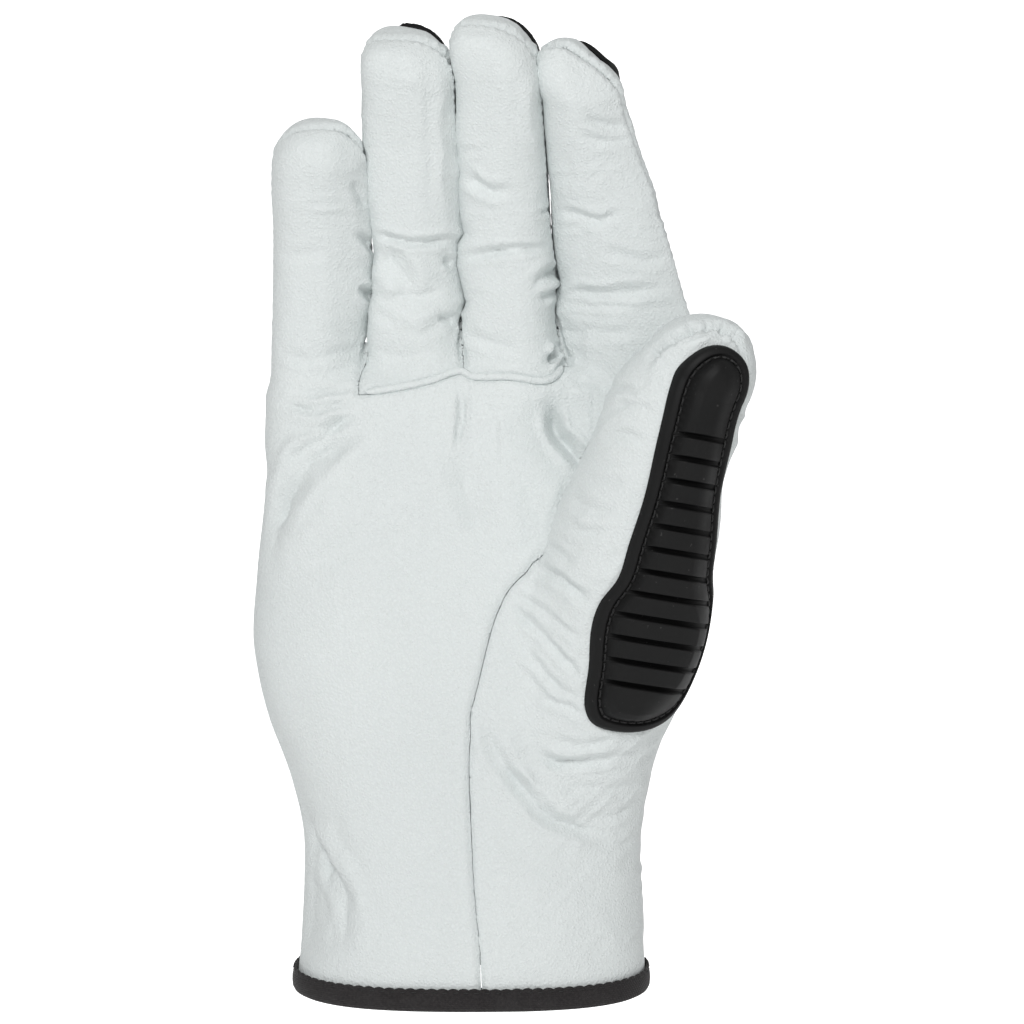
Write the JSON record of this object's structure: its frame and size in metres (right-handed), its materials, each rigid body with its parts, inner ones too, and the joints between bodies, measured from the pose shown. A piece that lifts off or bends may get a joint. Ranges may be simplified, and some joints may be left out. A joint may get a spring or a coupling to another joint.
{
  "type": "impact glove",
  "caption": "Leather work glove for the right hand with moulded impact guards on the thumb, the fingers and the back of the hand, and a bound cuff.",
  "frame": {"origin": "centre of the wrist opening, level with the lower edge of the cuff binding", "axes": "+Z from the cuff up to the fingertips, palm towards -Y, thumb towards +X"},
  "size_m": [0.1239, 0.0751, 0.2427],
  "materials": {
    "leather": "soft fine-grained white leather",
    "binding": "matt black woven tape",
    "guard": "satin black moulded rubber"
  },
  "bodies": {
    "root": {"palm_panel": "leather", "ring_finger_front": "leather", "middle_finger_front": "leather", "back_panel": "leather", "thumb_panel": "leather", "finger_base_welt": "leather", "cuff_binding": "binding", "thumb_guard": "guard", "little_guard": "guard", "ring_guard": "guard", "middle_guard": "guard", "index_guard": "guard", "hand_guard": "guard"}
  },
  "joints": []
}
